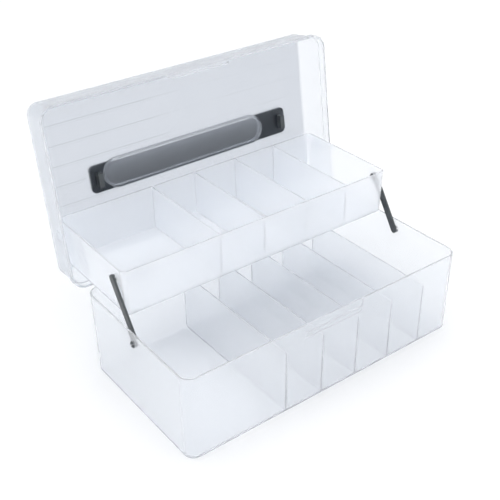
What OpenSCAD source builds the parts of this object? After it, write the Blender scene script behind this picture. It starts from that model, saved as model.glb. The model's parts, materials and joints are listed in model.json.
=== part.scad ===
// Two-tier parts organizer: a divided base box, a cantilever tray carried by two link arms
// and by the lid, and a hinged lid with a carrying handle.
// Millimetres. X runs along the front, Y from front to back, Z up. The origin is the middle
// of the underside of the base. The model is drawn open: the lid leans back on its stops and
// the tray stands level above the back half of the base.

/* [Base box] */
// Length of the base, over its walls
base_len = 330; // [260:1:400]
// Depth of the base, over its walls
base_dep = 172; // [140:1:210]
// Height of the base
base_h = 92; // [76:1:112]
// Corner radius of the base, seen from above
base_r = 12; // [6:1:18]
// Wall thickness of the base
base_wall = 2; // [1.6:0.1:2.4]
// Floor thickness of the base
base_floor = 2; // [1.5:0.1:3]
// Thickness of a divider moulded in the base
base_rib = 1.6; // [1.2:0.1:2]
// Number of narrow compartments in the base
base_cells = 5; // [3:1:6]
// Length of the wide compartment at the left of the base
base_wide = 107; // [80:1:130]

/* [Tray] */
// Height of the tray
tray_h = 48.5; // [38:0.5:58]
// Corner radius of the tray, seen from above
tray_r = 6; // [4:0.5:12]
// Wall thickness of the tray
tray_wall = 1.8; // [1.4:0.1:2.2]
// Floor thickness of the tray
tray_floor = 1.8; // [1.4:0.1:2.4]
// Thickness of a divider moulded in the tray
tray_rib = 1.4; // [1:0.1:1.8]
// Number of narrow compartments in the tray
tray_cells = 4; // [2:1:5]
// Length of the wide compartment at the left of the tray
tray_wide = 105; // [80:1:130]
// Depth of the tray pivots below the tray's top edge
tray_pivot_drop = 12.8; // [10:0.1:16]
// Distance from the lid pivot to the back of the tray
tray_back_inset = 10.3; // [8:0.1:13]
// Distance from the arm pivot to the front of the tray
tray_front_inset = 16.7; // [10:0.1:20]

/* [Linkage] */
// Distance between the two pivots of a link arm, where the tray needs the usual rise
link_len = 62; // [54:0.5:74]
// Rise of the open tray, from the lower pivots to the upper ones, that link_len is meant for
usual_rise = 52; // [45:0.5:60]
// Angle of the arms above level when the box is open
link_open = 57; // [50:1:60]
// Angle that the lid turns from shut to open
lid_travel = 98; // [92:1:102]
// Depth of the lower pivots below the rim of the base
pivot_drop = 12; // [10:0.5:15]
// Width of a link arm
arm_w = 7; // [6:0.5:10]
// Thickness of a link arm
arm_t = 2.2; // [1.6:0.1:3]
// Radius of the snap pins on the link arms
arm_pin_r = 2.8; // [2.2:0.1:3.4]
// Radius of the barb at the end of a snap pin
arm_barb_r = 3.5; // [3:0.1:4.2]
// Radius of the barb at its tip
arm_tip_r = 2.2; // [1.8:0.1:2.6]
// Length of the barb
arm_barb_len = 1.3; // [1:0.1:1.8]
// Width of the slit across a snap pin
arm_slit = 1.2; // [0.8:0.1:1.5]
// Radius of the stub pins moulded on the ends of the tray
stub_r = 3; // [2.5:0.1:3.6]
// Radius of the bosses in the lid that hold the stub pins
boss_r = 6.5; // [5.5:0.5:8]

/* [Rear hinge] */
// Distance from the back of the base to the hinge axis
hinge_back = 11; // [10:0.5:14]
// Distance from the middle of the box to a hinge
hinge_x = 105; // [60:1:112]
// Radius of the hinge barrels
barrel_r = 5; // [4.5:0.1:6]
// Width of the lid's barrel at each hinge
lug_w = 14; // [10:1:20]
// Width of each of the base's two barrels at a hinge
knuckle_w = 8; // [6:1:12]
// Radius of the hinge pins
hinge_pin_r = 2.5; // [2:0.1:3]
// Radius of the head of a hinge pin
hinge_head_r = 4; // [3.5:0.1:4.5]
// Thickness of the head of a hinge pin
hinge_head_t = 1.5; // [1:0.1:2.5]
// Thickness of the toe that stops the lid
stop_toe_t = 3.6; // [3:0.1:4.5]

/* [Lid] */
// Wall thickness of the lid
lid_wall = 2; // [1.6:0.1:2.4]
// Height of the band around the rim of the lid
band_h = 8; // [6:0.5:12]
// Distance that the band stands out from the side of the lid
band_step = 1.5; // [0.8:0.1:1.6]
// Depth to which the shut lid reaches below the rim of the base
lid_overlap = 4; // [3:0.5:5]
// Distance from the hinge axis forward to the back of the lid
lid_back = 2; // [1.5:0.1:2.5]
// Distance between the low ribs across the top of the lid
rib_pitch = 20.5; // [16:0.5:26]
// Number of low ribs in front of the middle one, and behind it
rib_side = 4; // [2:1:4]
// Width of a low rib
rib_w = 2.4; // [1.6:0.1:4]
// Height of a low rib
rib_h = 0.8; // [0.4:0.1:1]

/* [Handle] */
// Distance from the left end of the lid to the handle
handle_left = 56; // [45:1:70]
// Distance from the right end of the lid to the handle
handle_right = 32; // [25:1:50]
// Distance from the back of the lid to the middle of the handle
handle_back = 88; // [70:1:100]
// Width of the handle
handle_w = 29; // [24:0.5:31]
// Thickness of the handle
handle_t = 4; // [3:0.1:5]
// Corner radius of the handle
handle_r = 5; // [3:0.5:7]
// Distance that the handle lifts off the lid
handle_lift = 4; // [3:0.5:6]
// Distance from an end of the handle to its hook
hook_inset = 9.5; // [7:0.5:11]
// Thickness of the stem of a hook
hook_t = 3; // [2.4:0.1:4]
// Width of a hook
hook_w = 15; // [10:0.5:18]
// Length of the toe of a hook, under the lid
hook_toe = 2.5; // [2:0.1:4]
// Thickness of the toe of a hook
toe_t = 1.6; // [1.2:0.1:2]
// Distance from each end of the lid to the finger pocket
pocket_end = 69; // [62:1:90]
// Distance from the back of the lid to the middle of the finger pocket
pocket_back = 91; // [80:1:100]
// Width of the finger pocket
pocket_w = 31; // [26:0.5:34]
// Depth of the finger pocket
pocket_d = 7; // [6:0.5:12]

/* [Latch] */
// Width of the latch recess in the front of the base
latch_w = 70; // [40:1:90]
// Height of the latch recess
latch_h = 15; // [13:0.5:18]
// Depth of the latch recess
latch_d = 0.9; // [0.6:0.1:1.1]
// Thickness of the latch tab on the lid
tab_t = 1.7; // [1.4:0.1:2]
// Length of the latch tab below the lid
tab_len = 10; // [8:0.5:11]
// Distance that the thumb lip stands out from the tab
lip_out = 2; // [1:0.1:3]
// Height of the catch bead of the base above the bottom of the recess
catch_z = 4.5; // [4:0.1:6]
// Height of a catch bead and of the thumb lip
bead_h = 1.5; // [1:0.1:2]
// Distance that the catch bead reaches in past the skirt of the lid
bead_in = 0.3; // [0.1:0.1:0.4]

/* [Clearances] */
// Radial clearance of a running pin
pin_clear = 0.08; // [0.05:0.01:0.1]
// Gap beside a moving arm, and beside a barrel
side_gap = 0.6; // [0.3:0.1:0.8]
// Gap between the base and the skirt of the shut lid
skirt_gap = 0.5; // [0.4:0.1:0.8]
// Gap between the rim of the base and the underside of the open tray
rim_gap = 4.3; // [2:0.1:8]
// Gap above and below the tray when the box is shut
seat_gap = 0.5; // [0.4:0.1:1]
// Gap in front of the tray when the box is shut
tray_front_gap = 11; // [8:0.5:20]
// Gap between a hook and the edge of its slot
slot_gap = 0.5; // [0.3:0.1:0.8]
// Gap left at a stop
stop_gap = 0.3; // [0.2:0.1:0.5]
// Gap between the handle and the end of a rib
rib_gap = 4; // [2:0.5:8]

/* [Hidden] */
$fn = 64;
overcut = 1;      // how far a cut runs past the face it opens
bite = 0.4;       // how far a moulded feature is sunk into the wall that carries it

// pivots, in the plane of the ends: the hinge and arm pivots are level with each other
hinge_y = base_dep / 2 + hinge_back;
pivot_z = base_h - pivot_drop;
link_shut = link_open + lid_travel;

// link arms, from pivot to pivot: a tray that needs more rise than usual to clear the rim of
// the base, because it is deeper or its pivots are lower, gets longer arms
tray_rise = pivot_drop + rim_gap + tray_h - tray_pivot_drop;
arm_len = link_len + (tray_rise - usual_rise) / sin(link_open);

// tray, shut and open
tray_len = base_len - 2 * base_wall - 2 * (arm_t + 2 * side_gap);
shut_back_y = hinge_y + arm_len * cos(link_shut) + tray_back_inset;
shut_front_y = -base_dep / 2 + base_wall + tray_front_gap;
tray_dep = shut_back_y - shut_front_y;
pivot_span = tray_dep - tray_back_inset - tray_front_inset;
arm_y = hinge_y - pivot_span;
open_dy = arm_len * cos(link_open);
open_dz = arm_len * sin(link_open);
tray_back_y = hinge_y + open_dy + tray_back_inset;
tray_mid_y = tray_back_y - tray_dep / 2;
tray_top_z = pivot_z + open_dz + tray_pivot_drop;
tray_z = tray_top_z - tray_h;
shut_top_z = pivot_z + arm_len * sin(link_shut) + tray_pivot_drop;
shut_pivot = [hinge_y + arm_len * cos(link_shut), pivot_z + arm_len * sin(link_shut)];
divider_top = shut_top_z - tray_h - seat_gap;

// lid, in its shut place
lid_z = base_h - lid_overlap;
lid_len = base_len + 2 * (skirt_gap + lid_wall);
lid_front_y = -base_dep / 2 - skirt_gap - lid_wall;
lid_back_y = hinge_y - lid_back;
lid_dep = lid_back_y - lid_front_y;
lid_mid_y = (lid_front_y + lid_back_y) / 2;
lid_r = base_r + skirt_gap + lid_wall;
pocket_z = shut_top_z + seat_gap;
plate_under_z = pocket_z + pocket_d;
plate_top_z = plate_under_z + lid_wall;
body_len = lid_len - 2 * band_step;
body_dep = lid_dep - 2 * band_step;

// handle, on the shut lid
handle_y = lid_back_y - handle_back;
pocket_y = lid_back_y - pocket_back;
handle_x0 = -lid_len / 2 + handle_left;
handle_x1 = lid_len / 2 - handle_right;
// each hook: the place of its stem, and the side to which its toe points
hooks = [[handle_x0 + hook_inset, -1], [handle_x1 - hook_inset, 1]];
hook_depth = lid_wall + handle_lift + stop_gap;

function cell_xs(inner, wide, cells) =
    [for (i = [0:cells - 1]) -inner / 2 + wide + i * (inner - wide) / cells];

module rounded_rect(len, dep, r) {
    square([len - 2 * r, dep], center = true);
    square([len, dep - 2 * r], center = true);
    for (sx = [-1, 1], sy = [-1, 1])
        translate([sx * (len / 2 - r), sy * (dep / 2 - r)]) circle(r);
}

module slab(len, dep, r, z0, z1) {
    translate([0, 0, z0]) linear_extrude(z1 - z0) rounded_rect(len, dep, r);
}

module open_box(len, dep, h, r, wall, floor_t) {
    difference() {
        slab(len, dep, r, 0, h);
        slab(len - 2 * wall, dep - 2 * wall, r - wall, floor_t, h + overcut);
    }
}

module dividers(xs, rib, dep, wall, z0, z1) {
    for (x = xs)
        translate([x - rib / 2, -dep / 2 + wall - bite, z0 - bite])
            cube([rib, dep - 2 * wall + 2 * bite, z1 - z0 + bite]);
}

// a block that stands on the middle of its underside
module bar(len, dep, h) {
    translate([-len / 2, -dep / 2, 0]) cube([len, dep, h]);
}

// a cylinder along X, from x0 to x1, on the axis (y, z)
module x_rod(x0, x1, r, y, z) {
    translate([x0, y, z]) rotate([0, 90, 0]) cylinder(h = x1 - x0, r = r);
}

// an outline in the Y-Z plane, extruded from x0 to x1
module x_plate(x0, x1) {
    translate([x0, 0, 0]) rotate([90, 0, 90]) linear_extrude(x1 - x0) children();
}

// puts a piece of the lid, drawn shut, where it stands when the lid is open
module opened() {
    translate([0, hinge_y, pivot_z]) rotate([-lid_travel, 0, 0])
        translate([0, -hinge_y, -pivot_z]) children();
}

// ---- base ----

module knuckle_outline() {
    translate([hinge_y, pivot_z]) circle(barrel_r);
    polygon([[base_dep / 2 - bite, pivot_z + barrel_r],
             [hinge_y, pivot_z + barrel_r],
             [hinge_y, pivot_z - barrel_r],
             [base_dep / 2 - bite, pivot_z - barrel_r - hinge_back]]);
}

module base_knuckles() {
    for (sx = [-1, 1], side = [-1, 1]) {
        x = sx * hinge_x + side * (lug_w / 2 + side_gap + knuckle_w / 2);
        x_plate(x - knuckle_w / 2, x + knuckle_w / 2) knuckle_outline();
    }
}

module base() {
    color("gainsboro", 0.7)
    difference() {
        union() {
            open_box(base_len, base_dep, base_h, base_r, base_wall, base_floor);
            dividers(cell_xs(base_len - 2 * base_wall, base_wide, base_cells),
                     base_rib, base_dep, base_wall, base_floor, divider_top);
            base_knuckles();
        }
        // arm pin holes
        for (sx = [-1, 1])
            x_rod(sx * base_len / 2 - base_wall - overcut, sx * base_len / 2 + base_wall + overcut,
                  arm_pin_r + pin_clear, arm_y, pivot_z);
        // hinge pin bores
        for (sx = [-1, 1])
            x_rod(sx * hinge_x - lug_w - knuckle_w, sx * hinge_x + lug_w + knuckle_w,
                  hinge_pin_r + pin_clear, hinge_y, pivot_z);
        // latch recess, open at the rim, with the catch bead left standing
        difference() {
            translate([-latch_w / 2, -base_dep / 2 - overcut, base_h - latch_h])
                cube([latch_w, latch_d + overcut, latch_h + overcut]);
            translate([-latch_w / 2 - overcut, -base_dep / 2, base_h - latch_h + catch_z])
                cube([latch_w + 2 * overcut, latch_d + overcut, bead_h]);
        }
    }
}

// ---- tray ----

module tray() {
    color("whitesmoke", 0.7)
    difference() {
        union() {
            translate([0, tray_mid_y, tray_z]) {
                open_box(tray_len, tray_dep, tray_h, tray_r, tray_wall, tray_floor);
                dividers(cell_xs(tray_len - 2 * tray_wall, tray_wide, tray_cells),
                         tray_rib, tray_dep, tray_wall, tray_floor, tray_h);
            }
            // stub pins that turn in the lid
            stub_end = body_len / 2 - lid_wall / 2 - stop_gap;
            x_rod(tray_len / 2 - bite, stub_end, stub_r, hinge_y + open_dy, pivot_z + open_dz);
            x_rod(-stub_end, -tray_len / 2 + bite, stub_r, hinge_y + open_dy, pivot_z + open_dz);
        }
        // arm pin holes
        for (sx = [-1, 1])
            x_rod(sx * tray_len / 2 - tray_wall - overcut, sx * tray_len / 2 + tray_wall + overcut,
                  arm_pin_r + pin_clear, arm_y + open_dy, pivot_z + open_dz);
    }
}

// ---- link arms ----

// drawn from the lower pivot along +Y, with its tray face on x = 0 and its base face on x = -arm_t
module arm_blank() {
    rotate([0, -90, 0]) {
        cylinder(h = arm_t, r = arm_w / 2);
        translate([0, arm_len, 0]) cylinder(h = arm_t, r = arm_w / 2);
        translate([-arm_w / 2, 0, 0]) cube([arm_w, arm_len, arm_t]);
    }
}

// a slit pin standing on x = 0 and pointing to +X, through a wall of thickness through
module snap_pin(through) {
    shank = side_gap + through + stop_gap;
    difference() {
        union() {
            x_rod(-bite, shank, arm_pin_r, 0, 0);
            translate([shank, 0, 0]) rotate([0, 90, 0])
                cylinder(h = arm_barb_len, r1 = arm_barb_r, r2 = arm_tip_r);
        }
        translate([0, -arm_slit / 2, -arm_barb_r - overcut])
            cube([shank + arm_barb_len + overcut, arm_slit, 2 * (arm_barb_r + overcut)]);
    }
}

module arm() {
    color("dimgray")
    translate([-tray_len / 2 - side_gap, arm_y, pivot_z]) rotate([link_open, 0, 0]) {
        arm_blank();
        translate([0, arm_len, 0]) snap_pin(tray_wall);
        translate([-arm_t, 0, 0]) mirror([1, 0, 0]) snap_pin(base_wall);
    }
}

module arm_left() {
    arm();
}

module arm_right() {
    mirror([1, 0, 0]) arm();
}

// ---- lid ----

module lid_shell() {
    translate([0, lid_mid_y, 0])
    difference() {
        union() {
            slab(lid_len, lid_dep, lid_r, lid_z, lid_z + band_h);
            slab(body_len, body_dep, lid_r - band_step, lid_z + band_h - bite, plate_top_z);
        }
        slab(lid_len - 2 * lid_wall, lid_dep - 2 * lid_wall, lid_r - lid_wall,
             lid_z - overcut, lid_z + band_h - lid_wall);
        slab(body_len - 2 * lid_wall, body_dep - 2 * lid_wall, lid_r - band_step - lid_wall,
             lid_z + band_h - lid_wall - overcut, plate_under_z);
    }
}

module stadium(len, w) {
    square([len - w, w], center = true);
    for (sx = [-1, 1]) translate([sx * (len - w) / 2, 0]) circle(w / 2);
}

module pocket_outside() {
    translate([0, pocket_y, pocket_z])
        linear_extrude(plate_top_z - pocket_z) stadium(lid_len - 2 * pocket_end, pocket_w);
}

module pocket_inside() {
    translate([0, pocket_y, pocket_z + lid_wall]) linear_extrude(pocket_d + overcut)
        stadium(lid_len - 2 * pocket_end - 2 * lid_wall, pocket_w - 2 * lid_wall);
}

// low ribs across the top; the middle one stops short of the handle
module lid_ribs() {
    rib_len = body_len - 2 * (lid_r - band_step);
    difference() {
        for (i = [-rib_side:rib_side])
            translate([-rib_len / 2, lid_mid_y + i * rib_pitch - rib_w / 2, plate_top_z - bite])
                cube([rib_len, rib_w, rib_h + bite]);
        translate([handle_x0 - rib_gap, handle_y - handle_w / 2, plate_top_z - overcut])
            cube([handle_x1 - handle_x0 + 2 * rib_gap, handle_w, rib_h + 2 * overcut]);
    }
}

module lug_outline() {
    translate([hinge_y, pivot_z]) circle(barrel_r);
    polygon([[lid_back_y - bite, pivot_z],
             [hinge_y + barrel_r, pivot_z],
             [hinge_y + barrel_r, lid_z + band_h / 2],
             [lid_back_y, lid_z + band_h],
             [lid_back_y - bite, lid_z + band_h]]);
    // toe that meets the back of the base when the lid is open
    translate([hinge_y, pivot_z]) rotate(lid_travel)
        translate([stop_gap - hinge_back, -barrel_r + bite])
            square([hinge_back - stop_gap, stop_toe_t]);
}

module lid_bosses() {
    inner = tray_len / 2 + 2 * side_gap;
    outer = body_len / 2 - lid_wall + bite;
    x_rod(inner, outer, boss_r, shut_pivot[0], shut_pivot[1]);
    x_rod(-outer, -inner, boss_r, shut_pivot[0], shut_pivot[1]);
}

// a tab below the front of the lid, with a thumb lip outside and a catch bead inside
module latch_tab() {
    tab_w = latch_w - 2 * side_gap;
    translate([-tab_w / 2, lid_front_y, lid_z - tab_len])
        cube([tab_w, tab_t, tab_len + bite]);
    translate([-tab_w / 2, lid_front_y - lip_out, lid_z - tab_len])
        cube([tab_w, lip_out + lid_wall + bead_in, bead_h]);
}

module lid() {
    color("aliceblue", 0.6)
    difference() {
        union() {
            opened() {
                difference() {
                    union() {
                        lid_shell();
                        pocket_outside();
                        lid_ribs();
                    }
                    pocket_inside();
                    // slots for the hooks of the handle
                    for (hook = hooks)
                        translate([hook[0] + hook[1] * hook_toe / 2, handle_y,
                                   plate_under_z - overcut])
                            bar(hook_t + hook_toe + 2 * slot_gap, hook_w + 2 * slot_gap,
                                lid_wall + 2 * overcut);
                }
                for (sx = [-1, 1])
                    x_plate(sx * hinge_x - lug_w / 2, sx * hinge_x + lug_w / 2) lug_outline();
                lid_bosses();
                latch_tab();
            }
        }
        // hinge bores, and blind bores for the stub pins of the tray
        for (sx = [-1, 1])
            x_rod(sx * hinge_x - lug_w, sx * hinge_x + lug_w, hinge_pin_r + pin_clear,
                  hinge_y, pivot_z);
        x_rod(-body_len / 2 + lid_wall / 2, body_len / 2 - lid_wall / 2, stub_r + pin_clear,
              hinge_y + open_dy, pivot_z + open_dz);
    }
}

// ---- handle ----

module hook(x, side) {
    toe_z = plate_top_z - hook_depth - toe_t;
    translate([x, handle_y, toe_z]) bar(hook_t, hook_w, hook_depth + toe_t + stop_gap + bite);
    translate([x + side * hook_toe / 2, handle_y, toe_z]) bar(hook_t + hook_toe, hook_w, toe_t);
}

module handle() {
    color("slategray")
    opened() {
        translate([(handle_x0 + handle_x1) / 2, handle_y, 0])
            slab(handle_x1 - handle_x0, handle_w, handle_r,
                 plate_top_z + stop_gap, plate_top_z + stop_gap + handle_t);
        for (hook = hooks) hook(hook[0], hook[1]);
    }
}

// ---- hinge pins ----

// the right pin, with its head towards the end of the box
module hinge_pin() {
    pin_end = hinge_x + lug_w / 2 + side_gap + knuckle_w;
    color("dimgray") {
        x_rod(2 * hinge_x - pin_end, pin_end, hinge_pin_r, hinge_y, pivot_z);
        x_rod(pin_end, pin_end + hinge_head_t, hinge_head_r, hinge_y, pivot_z);
    }
}

module hinge_pin_left() {
    mirror([1, 0, 0]) hinge_pin();
}

module hinge_pin_right() {
    hinge_pin();
}

base();
lid();
tray();
arm_left();
arm_right();
handle();
hinge_pin_left();
hinge_pin_right();
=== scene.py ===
"""Looks of the two-tier parts organizer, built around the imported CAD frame.

Lengths are millimetres in the CAD frame, and solid() turns them into metres. Only the floor,
the lamp and the camera are placed in metres. The lid and the handle are drawn on the shut box,
and opened() leans them back to their rest.
"""

import json
import math

import bmesh
import bpy
from mathutils import Matrix, Vector


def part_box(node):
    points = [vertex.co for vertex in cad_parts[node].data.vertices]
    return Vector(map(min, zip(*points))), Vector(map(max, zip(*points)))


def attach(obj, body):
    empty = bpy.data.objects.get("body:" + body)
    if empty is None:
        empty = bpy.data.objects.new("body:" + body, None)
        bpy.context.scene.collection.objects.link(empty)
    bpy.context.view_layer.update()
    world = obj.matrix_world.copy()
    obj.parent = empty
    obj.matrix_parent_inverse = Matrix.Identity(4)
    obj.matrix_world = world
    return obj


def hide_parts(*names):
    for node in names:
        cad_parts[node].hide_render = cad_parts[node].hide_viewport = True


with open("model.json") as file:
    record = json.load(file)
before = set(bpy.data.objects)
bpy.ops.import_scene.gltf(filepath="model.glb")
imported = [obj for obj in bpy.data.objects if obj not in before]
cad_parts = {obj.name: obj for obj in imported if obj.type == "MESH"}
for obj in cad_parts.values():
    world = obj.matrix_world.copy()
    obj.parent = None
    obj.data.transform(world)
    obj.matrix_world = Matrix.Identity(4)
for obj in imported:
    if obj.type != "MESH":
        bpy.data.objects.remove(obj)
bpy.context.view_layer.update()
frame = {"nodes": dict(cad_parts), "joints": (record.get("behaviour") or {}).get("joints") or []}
scene = bpy.context.scene
MM = 0.001

# ---- places, from the frame ----
joints = {j["name"]: j for j in frame["joints"]}


def anchor(joint):
    """A joint's place in the Y-Z plane."""
    place = Vector(joints[joint]["pos_m"]) / MM
    place.x = 0
    return place


HINGE = anchor("lid_hinge")
ARM = anchor("arm_left_pivot")  # the arms' lower pins, in the base
STUB = anchor("tray_pivot")  # the tray's stub pins, in the lid
RISE = STUB - HINGE  # also from an arm's lower pin to its upper one
LEAN = math.radians(joints["lid_hinge"]["range_deg"][1])

base_lo, base_hi = (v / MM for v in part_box("base"))
tray_lo, tray_hi = (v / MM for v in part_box("tray"))

# ---- sizes that the frame doesn't state ----
# base box and its dividers
BASE_LEN, BASE_DEP, BASE_H = base_hi.x - base_lo.x, 172.0, base_hi.z
BASE_R, BASE_WALL, BASE_FLOOR, BASE_DRAFT = 12.0, 2.0, 2.0, 1.0
BASE_FOOT_R, BASE_CORNER_R, BASE_LIP = 3.0, 2.0, 0.5
BASE_WIDE, BASE_CELLS = 107.0, 5
BASE_RIB, DIVIDER_TOP, BASE_RIB_R, BASE_RIB_TOP_R = 1.6, 70.0, 0.6, 0.5
BASE_END, BACK = 165.0, BASE_DEP / 2
# tray and its dividers
TRAY_LEN, TRAY_Y0, TRAY_Y1 = 319.2, tray_lo.y, tray_hi.y
TRAY_Z0, TRAY_Z1 = tray_lo.z, tray_hi.z
TRAY_R, TRAY_WALL, TRAY_FLOOR, TRAY_DRAFT = 6.0, 1.8, 1.8, 1.4
TRAY_FOOT_R, TRAY_CORNER_R, TRAY_LIP = 2.5, 1.6, 0.4
TRAY_WIDE, TRAY_CELLS = 105.0, 4
TRAY_RIB, TRAY_RIB_DROP, TRAY_RIB_R, TRAY_RIB_TOP_R = 1.4, 0.25, 0.5, 0.4
# dividers: how much thinner at the top than named, and how deep in the walls and floor
RIB_THINNER, RIB_SUNK = 0.3, 0.9
# pivots
PIN_HOLE_R, STUB_R, STUB_END, STUB_HOLE_R = 2.88, 3.0, 164.7, 3.08
BOSS_R, BOSS_X0, BOSS_X1 = 6.5, 160.8, 164.4
HINGE_X, HINGE_BORE_R, BARREL_R, LUG_W, KNUCKLE_W, SIDE_GAP = 105.0, 2.58, 5.0, 14.0, 8.0, 0.6
KNUCKLE_FOOT, KNUCKLE_DRILL, LUG_DRILL, WALL_DRILL = 11.0, 22.0, 14.0, 4.0
STOP_T, STOP_GAP, HINGE_BACK = 3.6, 0.3, 11.0
# latch
LATCH_W, LATCH_H, LATCH_D, CATCH_Z, BEAD_H, BEAD_D = 70.0, 15.0, 0.9, 4.5, 1.5, 0.05
TAB_W, TAB_T, TAB_LEN, LIP_OUT, BEAD_IN = 68.8, 1.7, 10.0, 2.0, 0.3
# lid
LID_LEN, LID_Y0, LID_Y1 = 335.0, -88.5, 95.0
LID_R, LID_WALL, LID_Z0, BAND_H, BAND_STEP = 14.5, 2.0, 88.0, 8.0, 1.5
PLATE_TOP, POCKET_Z = 128.5, 119.5
LID_DRAFT, LID_EDGE_R, RIM_EASE, BAND_EDGE_R, STEP_HALF = 1.2, 5.5, 0.4, 0.5, 0.5
PLATE_RIB_PITCH, PLATE_RIBS_A_SIDE = 20.5, 4
PLATE_RIB_W, PLATE_RIB_H, PLATE_RIB_LEN, PLATE_RIB_GAP = 2.4, 0.8, 306.0, 4.0
# finger pocket
POCKET_LEN, POCKET_W, POCKET_Y = 197.0, 31.0, 4.0
POCKET_FOOT_R, POCKET_CORNER_R, POCKET_MOUTH_R = 2.5, 1.8, 1.2
# handle and its hooks
HANDLE_X0, HANDLE_X1, HANDLE_Y, HANDLE_W, HANDLE_T = -111.5, 135.5, 7.0, 29.0, 4.0
HANDLE_R, HANDLE_UNDER_R, HANDLE_TOP_R, HANDLE_GAP = 5.0, 0.6, 1.4, 0.3
HOOK_T, HOOK_W, HOOK_TOE, TOE_T, HOOK_DEPTH = 3.0, 15.0, 2.5, 1.6, 6.3
HOOK_INSET, SLOT_GAP = 9.5, 0.5
# how deep a joined part starts in its neighbour, and how far a cutter reaches past a surface
BITE, ROOT, PAST = 0.4, 1.2, 2.0

ROD_SIDES = 48
SHARP_ANGLE = 28


# ---- mesh makers ----
def solid(verts, faces, name="tool"):
    mesh = bpy.data.meshes.new(name)
    mesh.from_pydata([Vector(v) * MM for v in verts], [], faces)
    mesh.update()
    obj = bpy.data.objects.new(name, mesh)
    scene.collection.objects.link(obj)
    return obj


def fix_normals(obj):
    bm = bmesh.new()
    bm.from_mesh(obj.data)
    bmesh.ops.recalc_face_normals(bm, faces=bm.faces)
    bm.to_mesh(obj.data)
    bm.free()
    return obj


def ring(cx, cy, lx, ly, r, z, n):
    """A rounded rectangle at height z, with n steps at each corner."""
    pts = []
    for qx, qy, a0 in ((1, 1, 0), (-1, 1, 90), (-1, -1, 180), (1, -1, 270)):
        for i in range(n + 1):
            a = math.radians(a0 + 90 * i / n)
            pts.append((cx + qx * (lx / 2 - r) + r * math.cos(a),
                        cy + qy * (ly / 2 - r) + r * math.sin(a), z))
    return pts


def loft(rings, name="tool"):
    m = len(rings[0])
    faces = []
    for k in range(len(rings) - 1):
        for i in range(m):
            j = (i + 1) % m
            faces.append((k * m + i, k * m + j, (k + 1) * m + j, (k + 1) * m + i))
    faces.append(tuple(reversed(range(m))))
    faces.append(tuple(range((len(rings) - 1) * m, len(rings) * m)))
    return solid([p for r in rings for p in r], faces, name)


def tub(cx, cy, lx, ly, r, profile, n=10, name="tool"):
    """A loft of rounded rectangles; profile is a list of (inset, z)."""
    least_r = 0.3
    return loft([ring(cx, cy, lx - 2 * i, ly - 2 * i, max(r - i, least_r), z, n)
                 for i, z in profile], name)


def arc(steps=6):
    """Angles along a quarter turn."""
    return [math.radians(90 * k / steps) for k in range(steps + 1)]


def foot(inset, z, r, steps=6):
    """Profile of a rounded lower edge, from the bottom at z up to a wall at inset."""
    return [(inset + r * (1 - math.sin(a)), z + r * (1 - math.cos(a))) for a in arc(steps)]


def brow(inset, z, r, steps=6):
    """Profile of a rounded upper edge, from a wall at inset up to the top at z."""
    return [(inset + r * (1 - math.cos(a)), z - r * (1 - math.sin(a))) for a in arc(steps)]


def mouth(inset, z, r, steps):
    """Profile of a hollow that widens at its rounded mouth, but for its first point."""
    return [(inset - r * (1 - math.cos(a)), z - r * (1 - math.sin(a))) for a in arc(steps)[1:]]


def prism(outline, x0, x1):
    """An outline in the Y-Z plane, from x0 to x1."""
    n = len(outline)
    verts = [(x0, y, z) for y, z in outline] + [(x1, y, z) for y, z in outline]
    faces = [(i, (i + 1) % n, n + (i + 1) % n, n + i) for i in range(n)]
    faces += [tuple(reversed(range(n))), tuple(range(n, 2 * n))]
    return fix_normals(solid(verts, faces))


def rod(x0, x1, r, y, z, ease=0.0):
    """A cylinder along X, with eased ends if ease is given."""
    stops = [(x0, r), (x1, r)]
    if ease:
        stops = [(x0, r - ease), (x0 + ease, r), (x1 - ease, r), (x1, r - ease)]
    turns = [2 * math.pi * k / ROD_SIDES for k in range(ROD_SIDES)]
    return fix_normals(loft([[(x, y + q * math.cos(a), z + q * math.sin(a)) for a in turns]
                             for x, q in stops]))


def stub(sx, near, far, r, y, z, ease):
    """A rod on the side sx, between two distances from the middle."""
    return rod(*sorted((sx * near, sx * far)), r, y, z, ease)


def drill(x, reach, r, y, z):
    """A plain rod that reaches to both sides of x."""
    return rod(x - reach, x + reach, r, y, z)


def block(x0, x1, y0, y1, z0, z1, ease=0.3):
    """A bar with eased edges all round."""
    nick = ease * 0.3
    prof = [(ease, z0), (nick, z0 + nick), (0, z0 + ease),
            (0, z1 - ease), (nick, z1 - nick), (ease, z1)]
    return tub((x0 + x1) / 2, (y0 + y1) / 2, x1 - x0, y1 - y0, ease * 1.2, prof, 3)


def boolean(obj, others, operation):
    for other in others:
        mod = obj.modifiers.new("bool", "BOOLEAN")
        mod.operation, mod.solver, mod.object = operation, "MANIFOLD", other
        bpy.context.view_layer.update()
        shaped = obj.evaluated_get(bpy.context.evaluated_depsgraph_get())
        mesh = bpy.data.meshes.new_from_object(shaped)
        obj.modifiers.clear()
        old, obj.data = obj.data, mesh
        mesh.name = obj.name
        bpy.data.meshes.remove(old)
        gone = other.data
        bpy.data.objects.remove(other)
        bpy.data.meshes.remove(gone)
        if not len(mesh.polygons):
            raise RuntimeError(f"{obj.name}: a {operation} left nothing")


def add(obj, *others):
    boolean(obj, others, "UNION")


def cut(obj, *others):
    boolean(obj, others, "DIFFERENCE")


def opened(obj):
    """Leans a piece drawn on the shut box back to the open lid."""
    obj.data.transform(Matrix.Translation(HINGE * MM) @ Matrix.Rotation(-LEAN, 4, "X")
                       @ Matrix.Translation(-HINGE * MM))


def when_shut(dy, dz):
    """Where a point of the open lid, (dy, dz) from the hinge, is on the shut one."""
    return (HINGE.y + dy * math.cos(LEAN) - dz * math.sin(LEAN),
            HINGE.z + dy * math.sin(LEAN) + dz * math.cos(LEAN))


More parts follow.
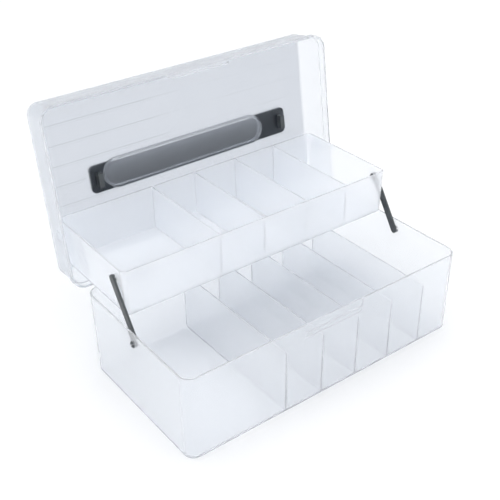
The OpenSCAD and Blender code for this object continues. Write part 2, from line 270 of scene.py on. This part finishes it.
def finish_piece(obj, node, material):
    """Shades a piece and puts it in the place of a node, on the body of the same name."""
    mesh = obj.data
    mesh.shade_smooth()
    mesh.set_sharp_from_angle(angle=math.radians(SHARP_ANGLE))
    mesh.materials.clear()
    mesh.materials.append(material)
    mod = obj.modifiers.new("normals", "WEIGHTED_NORMAL")
    mod.keep_sharp, mod.weight = True, 100
    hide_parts(node)
    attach(obj, node)


def fillet(d, r):
    """How far a fillet of radius r stands out at a distance d from the corner."""
    return 0.0 if d >= r else r - math.sqrt(max(0.0, r * r - (r - max(d, 0.0)) ** 2))


def divider(x, t, front, back, z0, z1, draft, r, top_r):
    """A moulded divider at x. front(z) and back(z) give the walls' inner faces."""
    far = 99  # well away from both walls
    rounding = [r * (1 - math.cos(a)) for a in arc(4)[1:]]
    offs = [-RIB_SUNK, 0.0] + rounding
    zs = ([z0 - RIB_SUNK, z0] + [z0 + o for o in rounding]
          + [z0 + (z1 - z0) * k / 4 for k in (1, 2, 3)]
          + [z1 - top_r * (1 - math.sin(a)) for a in arc(4)])
    rows = []
    for z in zs:
        ys = ([(front(z) + o, o) for o in offs] + [((front(z) + back(z)) / 2, far)]
              + [(back(z) - o, o) for o in reversed(offs)])
        slant = draft * (z1 - z) / (z1 - z0) / 2
        rows.append([(y, (t - RIB_THINNER) / 2 + slant + fillet(z - z0, r) + fillet(o, r)
                      - fillet(z1 - z, top_r)) for y, o in ys])
    nz, ny = len(zs), len(rows[0])
    verts = [(x + s * half, y, z) for s in (-1, 1) for z, row in zip(zs, rows) for y, half in row]

    def at(s, i, j):
        return s * nz * ny + i * ny + j

    faces = []
    for i in range(nz - 1):
        for j in range(ny - 1):
            faces.append((at(0, i, j), at(0, i, j + 1), at(0, i + 1, j + 1), at(0, i + 1, j)))
            faces.append((at(1, i, j), at(1, i + 1, j), at(1, i + 1, j + 1), at(1, i, j + 1)))
        faces.append((at(0, i, 0), at(0, i + 1, 0), at(1, i + 1, 0), at(1, i, 0)))
        faces.append((at(0, i, ny - 1), at(1, i, ny - 1),
                      at(1, i + 1, ny - 1), at(0, i + 1, ny - 1)))
    for j in range(ny - 1):
        faces.append((at(0, 0, j), at(1, 0, j), at(1, 0, j + 1), at(0, 0, j + 1)))
        faces.append((at(0, nz - 1, j), at(0, nz - 1, j + 1),
                      at(1, nz - 1, j + 1), at(1, nz - 1, j)))
    return fix_normals(solid(verts, faces))


def divider_xs(inner, wide, cells):
    """Where the dividers stand: after the wide compartment, and between the equal ones."""
    return [-inner / 2 + wide + i * (inner - wide) / cells for i in range(cells)]


def inset_at(z, z0, z1, draft):
    """How far a drafted wall is in from its place at the rim."""
    return draft * (z1 - z) / (z1 - z0)


def box_profiles(z0, z1, floor_t, wall, draft, foot_r, corner_r, lip):
    """Outside and inside profiles of an open box with an eased rim and rounded lower edges."""
    zf, zl = z0 + floor_t, z1 - lip
    outside = foot(inset_at(z0, z0, z1, draft), z0, foot_r)
    outside += [(inset_at(zl, z0, z1, draft), zl)] + brow(0, z1, lip, 3)[1:]
    inside = foot(wall + inset_at(zf, z0, z1, draft), zf, corner_r)
    inside += [(wall + inset_at(zl, z0, z1, draft), zl)] + mouth(wall, z1, lip, 3)
    inside += [(wall - lip, z1 + PAST)]
    return outside, inside


# ---- materials ----
# noises, as (scale, detail)
FILM = {"colour": (22, 4), "gloss": (60, 5), "grain": (700, 2)}
GRIP = {"colour": (90, 4), "gloss": (160, 4), "grain": (1800, 2)}
FILM_GRAIN, GRIP_GRAIN, GRAIN_DEPTH = 0.03, 0.25, 0.0002
FILM_IOR, GRIP_IOR = 1.3, 1.5


def noise(nt, scale, detail):
    co = nt.nodes.new("ShaderNodeTexCoord")
    n = nt.nodes.new("ShaderNodeTexNoise")
    n.inputs["Scale"].default_value = scale
    n.inputs["Detail"].default_value = detail
    nt.links.new(co.outputs["Object"], n.inputs["Vector"])
    return n.outputs["Fac"]


def ramp(nt, fac, lo, hi):
    r = nt.nodes.new("ShaderNodeMapRange")
    r.inputs["From Min"].default_value, r.inputs["From Max"].default_value = 0.3, 0.7
    r.inputs["To Min"].default_value, r.inputs["To Max"].default_value = lo, hi
    nt.links.new(fac, r.inputs["Value"])
    return r.outputs["Result"]


def mix_colour(nt, fac, a, b):
    m = nt.nodes.new("ShaderNodeMix")
    m.data_type = "RGBA"
    m.inputs["A"].default_value, m.inputs["B"].default_value = (*a, 1), (*b, 1)
    nt.links.new(fac, m.inputs["Factor"])
    return m.outputs["Result"]


def bump(nt, height, strength):
    b = nt.nodes.new("ShaderNodeBump")
    b.inputs["Strength"].default_value = strength
    b.inputs["Distance"].default_value = GRAIN_DEPTH
    nt.links.new(height, b.inputs["Height"])
    return b.outputs["Normal"]


def plastic(name, light, dark, rough, noises, grain, ior):
    """A moulded surface: drifting colour, a range of roughness and a fine grain.
    Gives the material and its colour."""
    m = bpy.data.materials.new(name)
    m.use_nodes = True
    nt = m.node_tree
    p = nt.nodes["Principled BSDF"]
    colour = mix_colour(nt, noise(nt, *noises["colour"]), dark, light)
    nt.links.new(colour, p.inputs["Base Color"])
    nt.links.new(ramp(nt, noise(nt, *noises["gloss"]), *rough), p.inputs["Roughness"])
    nt.links.new(bump(nt, noise(nt, *noises["grain"]), grain), p.inputs["Normal"])
    p.inputs["IOR"].default_value = ior
    return m, colour


def frosted(name, light, dark, rough, milk, haze, clear, veil):
    """Translucent moulded plastic. Most light refracts through it and the share milk doesn't;
    haze is the share scattered on through it, and clear the share that goes straight through.
    Lamps only see the tint veil, because a thin wall lets most of their light through."""
    m, colour = plastic(name, light, dark, rough, FILM, FILM_GRAIN, FILM_IOR)
    nt = m.node_tree
    p = nt.nodes["Principled BSDF"]
    p.inputs["Transmission Weight"].default_value = 1.0 - milk
    path, straight, through, scatter = (nt.nodes.new("ShaderNode" + k) for k in (
        "LightPath", "BsdfTransparent", "BsdfTransparent", "BsdfTranslucent"))
    through.inputs["Color"].default_value = (*veil, 1)
    nt.links.new(colour, scatter.inputs["Color"])
    nt.links.new(colour, straight.inputs["Color"])

    def mixed(fac, a, b):
        node = nt.nodes.new("ShaderNodeMixShader")
        if isinstance(fac, float):
            node.inputs["Fac"].default_value = fac
        else:
            nt.links.new(fac, node.inputs["Fac"])
        nt.links.new(a, node.inputs[1])
        nt.links.new(b, node.inputs[2])
        return node.outputs["Shader"]

    body = mixed(haze, p.outputs["BSDF"], scatter.outputs["BSDF"])
    seen = mixed(clear, body, straight.outputs["BSDF"])
    lit = mixed(path.outputs["Is Shadow Ray"], seen, through.outputs["BSDF"])
    nt.links.new(lit, nt.nodes["Material Output"].inputs["Surface"])
    return m


PP_BASE = frosted("frosted_pp_base", light=(0.97, 0.978, 0.99), dark=(0.96, 0.969, 0.984),
                  rough=(0.18, 0.22), milk=0.13, haze=0.1, clear=0.0, veil=(0.78, 0.79, 0.81))
PP_TRAY = frosted("frosted_pp_tray", light=(0.972, 0.979, 0.991), dark=(0.964, 0.972, 0.986),
                  rough=(0.18, 0.22), milk=0.19, haze=0.1, clear=0.0, veil=(0.93, 0.94, 0.95))
# the lid's plate and sides are one plastic in two tints: the plate's darker tint is painted shade,
# the sides' lighter tint is painted light
PP_LID_PAINTED_SHADE = frosted("frosted_pp_lid_painted_shade", light=(0.735, 0.755, 0.79), dark=(0.715, 0.738, 0.775),
                 rough=(0.08, 0.12), milk=0.0, haze=0.06, clear=0.4, veil=(0.84, 0.86, 0.89))
PP_LID_SIDE_PAINTED_LIGHT = frosted("frosted_pp_lid_side_painted_light", light=(0.93, 0.94, 0.955), dark=(0.915, 0.928, 0.946),
                 rough=(0.2, 0.24), milk=0.1, haze=0.1, clear=0.0, veil=(0.84, 0.86, 0.89))
PP_POCKET = frosted("frosted_pp_pocket", light=(0.82, 0.84, 0.87), dark=(0.8, 0.82, 0.85),
                    rough=(0.2, 0.24), milk=0.04, haze=0.2, clear=0.0, veil=(0.84, 0.86, 0.89))
GREY, _ = plastic("grey_plastic", light=(0.075, 0.083, 0.088), dark=(0.055, 0.062, 0.066),
                  rough=(0.38, 0.53), noises=GRIP, grain=GRIP_GRAIN, ior=GRIP_IOR)

# ---- base ----
outside, inside = box_profiles(0, BASE_H, BASE_FLOOR, BASE_WALL, BASE_DRAFT,
                               BASE_FOOT_R, BASE_CORNER_R, BASE_LIP)
base = tub(0, 0, BASE_LEN, BASE_DEP, BASE_R, outside, name="base_box")
cut(base, tub(0, 0, BASE_LEN, BASE_DEP, BASE_R, inside))


def base_inner(z):
    """Half the depth between the base's inner faces at height z."""
    return BACK - BASE_WALL - inset_at(z, 0, BASE_H, BASE_DRAFT)


for x in divider_xs(BASE_LEN - 2 * BASE_WALL, BASE_WIDE, BASE_CELLS):
    add(base, divider(x, BASE_RIB, lambda z: -base_inner(z), base_inner, BASE_FLOOR, DIVIDER_TOP,
                      BASE_RIB_R, BASE_RIB_R, BASE_RIB_TOP_R))
for sx in (-1, 1):
    for side in (-1, 1):
        x = sx * HINGE_X + side * (LUG_W / 2 + SIDE_GAP + KNUCKLE_W / 2)
        x0, x1 = x - KNUCKLE_W / 2, x + KNUCKLE_W / 2
        bracket = [(BACK - ROOT, HINGE.z + BARREL_R), (HINGE.y, HINGE.z + BARREL_R),
                   (HINGE.y, HINGE.z - BARREL_R), (BACK - ROOT, HINGE.z - BARREL_R - KNUCKLE_FOOT)]
        add(base, prism(bracket, x0, x1), rod(x0, x1, BARREL_R, HINGE.y, HINGE.z, 0.4))
    cut(base, drill(sx * HINGE_X, KNUCKLE_DRILL, HINGE_BORE_R, HINGE.y, HINGE.z))
    cut(base, drill(sx * BASE_END, WALL_DRILL, PIN_HOLE_R, ARM.y, ARM.z))
# latch recess, open at the rim, with the catch bead left standing
catch_z = BASE_H - LATCH_H + CATCH_Z
recess = block(-LATCH_W / 2, LATCH_W / 2, -BACK - PAST, -BACK + LATCH_D,
               BASE_H - LATCH_H, BASE_H + 3, 0.35)
cut(recess, block(-LATCH_W / 2 - PAST, LATCH_W / 2 + PAST, -BACK + BEAD_D, -BACK + 3,
                  catch_z, catch_z + BEAD_H))
cut(base, recess)
finish_piece(base, "base", PP_BASE)

# ---- tray ----
tray_cy, tray_dep = (TRAY_Y0 + TRAY_Y1) / 2, TRAY_Y1 - TRAY_Y0
outside, inside = box_profiles(TRAY_Z0, TRAY_Z1, TRAY_FLOOR, TRAY_WALL, TRAY_DRAFT,
                               TRAY_FOOT_R, TRAY_CORNER_R, TRAY_LIP)
tray = tub(0, tray_cy, TRAY_LEN, tray_dep, TRAY_R, outside, name="tray_box")
cut(tray, tub(0, tray_cy, TRAY_LEN, tray_dep, TRAY_R, inside))


def tray_in(z):
    """How far the tray's inner faces are from its rim's outside at height z."""
    return TRAY_WALL + inset_at(z, TRAY_Z0, TRAY_Z1, TRAY_DRAFT)


for x in divider_xs(TRAY_LEN - 2 * TRAY_WALL, TRAY_WIDE, TRAY_CELLS):
    add(tray, divider(x, TRAY_RIB, lambda z: TRAY_Y0 + tray_in(z), lambda z: TRAY_Y1 - tray_in(z),
                      TRAY_Z0 + TRAY_FLOOR, TRAY_Z1 - TRAY_RIB_DROP,
                      TRAY_RIB_R, TRAY_RIB_R, TRAY_RIB_TOP_R))
for sx in (-1, 1):
    add(tray, stub(sx, TRAY_LEN / 2 - ROOT, STUB_END, STUB_R, STUB.y, STUB.z, 0.3))
    cut(tray, drill(sx * TRAY_LEN / 2, WALL_DRILL, PIN_HOLE_R, ARM.y + RISE.y, ARM.z + RISE.z))
finish_piece(tray, "tray", PP_TRAY)

# ---- lid, drawn shut ----
lid_cy, lid_dep = (LID_Y0 + LID_Y1) / 2, LID_Y1 - LID_Y0
band_top, plate_under = LID_Z0 + BAND_H, PLATE_TOP - LID_WALL
edge_in_r, step_z = LID_EDGE_R - LID_WALL, band_top - LID_WALL
side_low = BAND_STEP  # the side wall's inset above the band
side_high = BAND_STEP + LID_DRAFT * (PLATE_TOP - LID_EDGE_R - band_top) / (PLATE_TOP - band_top)
rim_nick = RIM_EASE * 0.3
outer = ([(RIM_EASE, LID_Z0), (rim_nick, LID_Z0 + rim_nick), (0, LID_Z0 + RIM_EASE)]
         + brow(0, band_top, BAND_EDGE_R, 3) + [(side_low, band_top)]
         + brow(side_high, PLATE_TOP, LID_EDGE_R))
inner = ([(LID_WALL - RIM_EASE, LID_Z0 - PAST), (LID_WALL - RIM_EASE, LID_Z0),
          (LID_WALL - rim_nick, LID_Z0 + rim_nick), (LID_WALL, LID_Z0 + RIM_EASE),
          (LID_WALL, step_z - STEP_HALF), (side_low + LID_WALL, step_z + STEP_HALF)]
         + brow(side_high + LID_WALL, plate_under, edge_in_r))
lid = tub(0, lid_cy, LID_LEN, lid_dep, LID_R, outer, 12, "lid_shell")
cut(lid, tub(0, lid_cy, LID_LEN, lid_dep, LID_R, inner, 12))
# finger pocket: its shell now, its hollow after the ribs
pocket = foot(0, POCKET_Z, POCKET_FOOT_R) + [(0, plate_under - 0.2), (0, plate_under + 1)]
hollow = (foot(LID_WALL, POCKET_Z + LID_WALL, POCKET_CORNER_R)
          + [(LID_WALL, PLATE_TOP - POCKET_MOUTH_R)]
          + mouth(LID_WALL, PLATE_TOP, POCKET_MOUTH_R, 4)
          + [(LID_WALL - POCKET_MOUTH_R, PLATE_TOP + 3)])
add(lid, tub(0, POCKET_Y, POCKET_LEN, POCKET_W, POCKET_W / 2, pocket, 16))


def rib(y, x0, x1):
    """A low rounded rib; it is at its full height at the left and sinks towards the middle."""
    section = ((-1.0, 0.0), (-0.92, 0.55), (-0.6, 0.9), (0.0, 1.0), (0.6, 0.9), (0.92, 0.55),
               (1.0, 0.0))
    tip, steps = 0.8, 24
    fade_from, fade_over, sunk, tip_height = -70, 60, 0.7, 0.35
    xs = ([x0, x0 + tip] + [x0 + tip + (x1 - x0 - 2 * tip) * k / steps for k in range(1, steps)]
          + [x1 - tip, x1])
    rows = []
    for x in xs:
        fade = min(max((x - fade_from) / fade_over, 0), 1)
        h = PLATE_RIB_H * (1 - sunk * fade) * (tip_height if x in (x0, x1) else 1)
        rows.append([(x, y + PLATE_RIB_W / 2 * c, PLATE_TOP - BITE + (h + BITE) * s)
                     for c, s in section])
    n = len(section)
    faces = [(i * n + j, i * n + (j + 1) % n, (i + 1) * n + (j + 1) % n, (i + 1) * n + j)
             for i in range(len(rows) - 1) for j in range(n)]
    faces += [tuple(range(n)), tuple((len(rows) - 1) * n + j for j in reversed(range(n)))]
    return fix_normals(solid([p for r in rows for p in r], faces))


# ribs across the top; the handle's place interrupts them
for i in range(-PLATE_RIBS_A_SIDE, PLATE_RIBS_A_SIDE + 1):
    y = lid_cy + i * PLATE_RIB_PITCH
    spans = [(-PLATE_RIB_LEN / 2, PLATE_RIB_LEN / 2)]
    if abs(y - HANDLE_Y) < HANDLE_W / 2:
        spans = [(-PLATE_RIB_LEN / 2, HANDLE_X0 - PLATE_RIB_GAP),
                 (HANDLE_X1 + PLATE_RIB_GAP, PLATE_RIB_LEN / 2)]
    for x0, x1 in spans:
        add(lid, rib(y, x0, x1))
cut(lid, tub(0, POCKET_Y, POCKET_LEN, POCKET_W, POCKET_W / 2, hollow, 16))
# slots for the hooks
HOOKS = [(HANDLE_X0 + HOOK_INSET, -1), (HANDLE_X1 - HOOK_INSET, 1)]
hook_y0, hook_y1 = HANDLE_Y - HOOK_W / 2, HANDLE_Y + HOOK_W / 2
for x, side in HOOKS:
    c = x + side * HOOK_TOE / 2
    half = (HOOK_T + HOOK_TOE) / 2 + SLOT_GAP
    cut(lid, block(c - half, c + half, hook_y0 - SLOT_GAP, hook_y1 + SLOT_GAP,
                   plate_under - PAST, PLATE_TOP + PAST))
# bosses for the tray's stub pins, where the shut tray holds them
shut = Vector((0, *when_shut(RISE.y, RISE.z)))
for sx in (-1, 1):
    add(lid, stub(sx, BOSS_X0, BOSS_X1, BOSS_R, shut.y, shut.z, 0.4))
# hinge lugs with their stop toes
toe_u, toe_v = STOP_GAP - HINGE_BACK, -BARREL_R + BITE
for sx in (-1, 1):
    x0, x1 = sx * HINGE_X - LUG_W / 2, sx * HINGE_X + LUG_W / 2
    toe = [when_shut(*corner) for corner in ((toe_u, toe_v), (0, toe_v),
                                             (0, toe_v + STOP_T), (toe_u, toe_v + STOP_T))]
    web = [(LID_Y1 - ROOT, HINGE.z), (HINGE.y + BARREL_R, HINGE.z),
           (HINGE.y + BARREL_R, LID_Z0 + BAND_H / 2), (LID_Y1, band_top), (LID_Y1 - ROOT, band_top)]
    lug = rod(x0, x1, BARREL_R, HINGE.y, HINGE.z)
    add(lug, prism(web, x0, x1), prism(toe, x0, x1))
    add(lid, lug)
# latch tab
tab_z = LID_Z0 - TAB_LEN
add(lid, block(-TAB_W / 2, TAB_W / 2, LID_Y0, LID_Y0 + TAB_T, tab_z, LID_Z0 + 1.0, 0.4),
    block(-TAB_W / 2, TAB_W / 2, LID_Y0 - LIP_OUT, LID_Y0 + LID_WALL + BEAD_IN,
          tab_z, tab_z + BEAD_H, 0.45))
for sx in (-1, 1):
    cut(lid, drill(sx * HINGE_X, LUG_DRILL, HINGE_BORE_R, HINGE.y, HINGE.z))
cut(lid, drill(0, BASE_END, STUB_HOLE_R, shut.y, shut.z))
finish_piece(lid, "lid", PP_LID_PAINTED_SHADE)
# the pocket's inside has its own finish; the lid's sides get a lighter tint of the plate's plastic,
# painted light against the plate's painted shade
lid.data.materials.append(PP_POCKET)
lid.data.materials.append(PP_LID_SIDE_PAINTED_LIGHT)
near = 0.1
for face in lid.data.polygons:
    c = face.center / MM
    in_pocket = (abs(c.x) < POCKET_LEN / 2 + near
                 and abs(c.y - POCKET_Y) < POCKET_W / 2 + near)
    if in_pocket and POCKET_Z - near < c.z < PLATE_TOP - near:
        face.material_index = 1
    # the lid's sides below the plate: the lighter tint, painted light
    elif c.z < plate_under - near and not in_pocket:
        face.material_index = 2
opened(lid)

# ---- handle, on the shut lid ----
hz0, hz1 = PLATE_TOP + HANDLE_GAP, PLATE_TOP + HANDLE_GAP + HANDLE_T
handle = tub((HANDLE_X0 + HANDLE_X1) / 2, HANDLE_Y, HANDLE_X1 - HANDLE_X0, HANDLE_W, HANDLE_R,
             foot(0, hz0, HANDLE_UNDER_R, 3) + brow(0, hz1, HANDLE_TOP_R, 5), name="carry_handle")
toe_z = PLATE_TOP - HOOK_DEPTH - TOE_T
for x, side in HOOKS:
    x0, x1 = sorted((x - side * HOOK_T / 2, x + side * (HOOK_T / 2 + HOOK_TOE)))
    hook = block(x - HOOK_T / 2, x + HOOK_T / 2, hook_y0, hook_y1, toe_z, hz0 + HANDLE_UNDER_R)
    add(hook, block(x0, x1, hook_y0, hook_y1, toe_z, toe_z + TOE_T))
    add(handle, hook)
opened(handle)
finish_piece(handle, "handle", GREY)

# ---- CAD nodes whose shape is right ----
for name in ("arm_left", "arm_right", "hinge_pin_left", "hinge_pin_right"):
    obj = frame["nodes"][name]
    obj.data.materials.clear()
    obj.data.materials.append(GREY)

# ---- floor, light and camera ----
FLOOR_HALF, FLOOR_Z = 60, -0.0002
floor_mesh = bpy.data.meshes.new("floor")
floor_mesh.from_pydata([(x * FLOOR_HALF, y * FLOOR_HALF, FLOOR_Z)
                        for x, y in ((-1, -1), (1, -1), (1, 1), (-1, 1))], [], [(0, 1, 2, 3)])
floor = bpy.data.objects.new("floor", floor_mesh)
scene.collection.objects.link(floor)
paper = bpy.data.materials.new("pale_floor")
paper.use_nodes = True
paper_inputs = paper.node_tree.nodes["Principled BSDF"].inputs
paper_inputs["Base Color"].default_value = (0.92, 0.92, 0.92, 1)
paper_inputs["Roughness"].default_value = 0.9
floor_mesh.materials.append(paper)

# studio light, from a greyer horizon to a bright zenith
HORIZON, ZENITH = (0.62, 0.65, 0.7, 1), (1.25, 1.25, 1.25, 1)
world = bpy.data.worlds.new("studio")
scene.world = world
world.use_nodes = True
sky = world.node_tree
co, split, span, blend = (sky.nodes.new("ShaderNode" + k)
                          for k in ("TexCoord", "SeparateXYZ", "MapRange", "Mix"))
blend.data_type = "RGBA"
blend.inputs["A"].default_value, blend.inputs["B"].default_value = HORIZON, ZENITH
sky.links.new(co.outputs["Generated"], split.inputs["Vector"])
sky.links.new(split.outputs["Z"], span.inputs["Value"])
sky.links.new(span.outputs["Result"], blend.inputs["Factor"])
sky.links.new(blend.outputs["Result"], sky.nodes["Background"].inputs["Color"])

lamp = bpy.data.lights.new("top_softbox", "AREA")
lamp.shape, lamp.size, lamp.size_y, lamp.energy = "RECTANGLE", 2.2, 1.8, 8
softbox = bpy.data.objects.new("top_softbox", lamp)
scene.collection.objects.link(softbox)
softbox.location = (-0.3, 0.2, 1.9)
softbox.rotation_euler = softbox.location.to_track_quat("Z", "Y").to_euler()

AZ, EL, ROLL = math.radians(36.668), math.radians(31.876), math.radians(-0.81)
AIM, DISTANCE = Vector((-59.366, -35.804, 156.399)) * MM, 0.78758
back = Vector((-math.sin(AZ) * math.cos(EL), -math.cos(AZ) * math.cos(EL), math.sin(EL)))
right = (-back).cross(Vector((0, 0, 1))).normalized()
up = right.cross(-back)
cam_x = right * math.cos(ROLL) + up * math.sin(ROLL)
cam_y = up * math.cos(ROLL) - right * math.sin(ROLL)
lens = bpy.data.cameras.new("camera")
lens.lens, lens.sensor_width = 64.27, 36.0
camera = bpy.data.objects.new("camera", lens)
scene.collection.objects.link(camera)
place = AIM + back * DISTANCE
camera.matrix_world = Matrix((*zip(cam_x, cam_y, back, place), (0, 0, 0, 1)))
scene.camera = camera
scene.view_settings.view_transform = "Standard"
